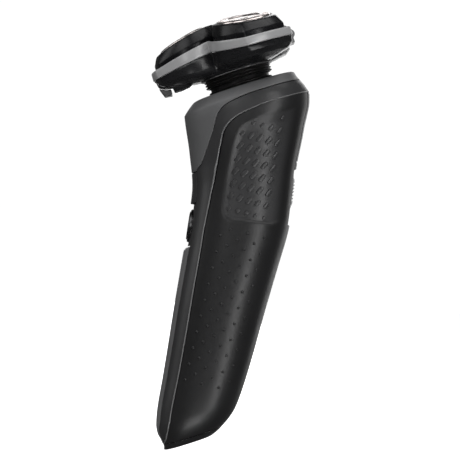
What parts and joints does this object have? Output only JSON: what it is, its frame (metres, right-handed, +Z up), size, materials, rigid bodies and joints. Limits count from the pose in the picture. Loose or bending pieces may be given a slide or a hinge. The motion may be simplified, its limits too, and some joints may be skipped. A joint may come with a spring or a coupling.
{
  "type": "electric shaver",
  "caption": "Cordless rotary shaver with a tilting, flip-open head of three round cutters on a leaning neck, soft side grips, a power button, a pop-up trimmer and a charging socket.",
  "frame": {"origin": "middle of the slanted seat under the handle, at the mouth of the charging socket", "axes": "+Z up along the handle to the head, -Y the front with the power button, +Y the back with the trimmer, X the width, about which the shaver is symmetric"},
  "size_m": [0.0596, 0.0639, 0.1685],
  "materials": {
    "shoulder_satin": "satin grey",
    "frame_satin": "dark satin",
    "panel_grey": "fine grey satin",
    "grip_rubber": "soft-touch, raised dashes and dots",
    "black_gloss": "polished black",
    "bezel_silver": "satin silver-grey lacquer",
    "bright_ring": "polished",
    "cap_steel": "fine turned steel",
    "inner_steel": "plain steel",
    "inner_black": "moulded black",
    "inner_ivory": "moulded acetal",
    "board_green": "circuit board",
    "cell_wrap": "shrink sleeve",
    "contact_brass": "plated contacts"
  },
  "bodies": {
    "handle": {"shoulder_cover": "shoulder_satin", "side_frame": "frame_satin", "front_bridge": "frame_satin", "button_plate": "panel_grey", "front_panel": "panel_grey", "grip_left": "grip_rubber", "grip_right": "grip_rubber", "back_strip": "panel_grey", "bottom_cap": "shoulder_satin", "charging_socket": "inner_black", "contact_pins": "contact_brass", "front_chassis": "inner_black", "rear_chassis": "inner_black", "shoulder_chassis": "inner_black", "chassis_screws": "inner_steel", "battery_cell": "cell_wrap", "battery_tabs": "contact_brass", "circuit_board": "board_green", "power_switch": "inner_steel", "motor_can": "inner_steel", "motor_clamp": "inner_black", "neck_collar": "grip_rubber", "neck_base": "inner_black", "button_ring": "bright_ring", "slider_track": "frame_satin", "trimmer_well": "inner_black", "trimmer_bracket": "inner_black", "trimmer_pin": "inner_steel"},
    "power_key": {"power_button": "panel_grey"},
    "slider": {"trimmer_slider": "frame_satin"},
    "trimmer": {"trimmer_cover": "frame_satin", "trimmer_arm": "inner_black", "trimmer_comb": "inner_steel"},
    "blade": {"trimmer_blade": "inner_steel"},
    "motor_rotor": {"motor_shaft": "inner_steel"},
    "gimbal": {"gimbal_ring": "inner_steel"},
    "head_base": {"head_yoke": "inner_black", "neck_bellows": "grip_rubber", "hair_chamber": "black_gloss", "gear_cover": "inner_black", "head_hinge": "panel_grey", "head_hinge_pin": "inner_steel"},
    "drive_line": {"drive_shaft": "inner_steel", "middle_gear": "inner_ivory"},
    "release_key": {"release_button": "panel_grey"},
    "head_top": {"bezel_ring": "bezel_silver", "head_frame": "inner_black", "head_tongue": "panel_grey"},
    "gear_front": {"drive_gear_front": "inner_ivory"},
    "petal_body_front": {"petal_front": "black_gloss", "cap_front": "cap_steel"},
    "cutter_body_front": {"cutter_front": "inner_steel"},
    "gear_right": {"drive_gear_right": "inner_ivory"},
    "petal_body_right": {"petal_right": "black_gloss", "cap_right": "cap_steel"},
    "cutter_body_right": {"cutter_right": "inner_steel"},
    "gear_left": {"drive_gear_left": "inner_ivory"},
    "petal_body_left": {"petal_left": "black_gloss", "cap_left": "cap_steel"},
    "cutter_body_left": {"cutter_left": "inner_steel"}
  },
  "joints": [
    {"name": "power_press", "type": "slide", "parent": "handle", "child": "power_key", "axis": [0, 0.996, 0.0889], "range_m": [0, 0.0006], "stiffness_N_per_m": 1200},
    {"name": "trimmer_slide", "type": "slide", "parent": "handle", "child": "slider", "axis": [0, 0.1162, -0.9932], "range_m": [0, 0.004]},
    {"name": "trimmer_open", "type": "hinge", "parent": "handle", "child": "trimmer", "pos_m": [0, 0.00859, 0.10696], "axis": [-1, 0, 0], "range_deg": [0, 90]},
    {"name": "blade_shift", "type": "slide", "parent": "trimmer", "child": "blade", "axis": [1, 0, 0], "range_m": [-0.0005, 0.0005], "stiffness_N_per_m": 200},
    {"name": "motor_spin", "type": "hinge", "parent": "handle", "child": "motor_rotor", "pos_m": [0, -0.01169, 0.1261], "axis": [0, -0.2079, 0.9781], "continuous": true},
    {"name": "neck_pitch", "type": "hinge", "parent": "handle", "child": "gimbal", "pos_m": [0, -0.01731, 0.13545], "axis": [1, 0, 0], "range_deg": [-6, 6], "stiffness_Nm_per_rad": 0.6},
    {"name": "neck_roll", "type": "hinge", "parent": "gimbal", "child": "head_base", "pos_m": [0, -0.01731, 0.13545], "axis": [0, 0.8572, 0.515], "range_deg": [-6, 6], "stiffness_Nm_per_rad": 0.6},
    {"name": "drive_spin", "type": "hinge", "parent": "head_base", "child": "drive_line", "pos_m": [0, -0.01633, 0.13382], "axis": [0, -0.515, 0.8572], "continuous": true},
    {"name": "gear_spin_front", "type": "hinge", "parent": "head_base", "child": "gear_front", "pos_m": [0, -0.0336, 0.13394], "axis": [0, -0.515, 0.8572], "continuous": true},
    {"name": "gear_spin_right", "type": "hinge", "parent": "head_base", "child": "gear_right", "pos_m": [0.01277, -0.01465, 0.14533], "axis": [0, -0.515, 0.8572], "continuous": true},
    {"name": "gear_spin_left", "type": "hinge", "parent": "head_base", "child": "gear_left", "pos_m": [-0.01277, -0.01465, 0.14533], "axis": [0, -0.515, 0.8572], "continuous": true},
    {"name": "release_press", "type": "slide", "parent": "head_base", "child": "release_key", "axis": [0, 0.8572, 0.515], "range_m": [0, 0.0005], "stiffness_N_per_m": 800},
    {"name": "head_open", "type": "hinge", "parent": "head_base", "child": "head_top", "pos_m": [0, -0.00257, 0.15597], "axis": [-1, 0, 0], "range_deg": [0, 100]},
    {"name": "petal_tilt_front", "type": "hinge", "parent": "head_top", "child": "petal_body_front", "pos_m": [0, -0.0388, 0.14015], "axis": [1, 0, 0], "range_deg": [-2, 2], "stiffness_Nm_per_rad": 0.3},
    {"name": "petal_tilt_right", "type": "hinge", "parent": "head_top", "child": "petal_body_right", "pos_m": [0.01386, -0.01823, 0.15251], "axis": [-0.5, 0.7423, 0.446], "range_deg": [-2, 2], "stiffness_Nm_per_rad": 0.3},
    {"name": "petal_tilt_left", "type": "hinge", "parent": "head_top", "child": "petal_body_left", "pos_m": [-0.01386, -0.01823, 0.15251], "axis": [-0.5, -0.7423, -0.446], "range_deg": [-2, 2], "stiffness_Nm_per_rad": 0.3},
    {"name": "cutter_spin_front", "type": "hinge", "parent": "petal_body_front", "child": "cutter_body_front", "pos_m": [0, -0.04118, 0.1441], "axis": [0, -0.7071, 0.7071], "continuous": true},
    {"name": "cutter_spin_right", "type": "hinge", "parent": "petal_body_right", "child": "cutter_body_right", "pos_m": [0.01386, -0.0206, 0.15646], "axis": [0.2095, -0.3961, 0.894], "continuous": true},
    {"name": "cutter_spin_left", "type": "hinge", "parent": "petal_body_left", "child": "cutter_body_left", "pos_m": [-0.01386, -0.0206, 0.15646], "axis": [-0.2095, -0.3961, 0.894], "continuous": true}
  ],
  "couplings": [
    {"joint": "drive_spin", "follows": "motor_spin", "ratio": 1},
    {"joint": "gear_spin_front", "follows": "motor_spin", "ratio": -1.5},
    {"joint": "cutter_spin_front", "follows": "motor_spin", "ratio": -1.5},
    {"joint": "gear_spin_right", "follows": "motor_spin", "ratio": -1.5},
    {"joint": "cutter_spin_right", "follows": "motor_spin", "ratio": -1.5},
    {"joint": "gear_spin_left", "follows": "motor_spin", "ratio": -1.5},
    {"joint": "cutter_spin_left", "follows": "motor_spin", "ratio": -1.5},
    {"joint": "trimmer_open", "follows": "trimmer_slide", "rad_per_m": 392.7}
  ]
}
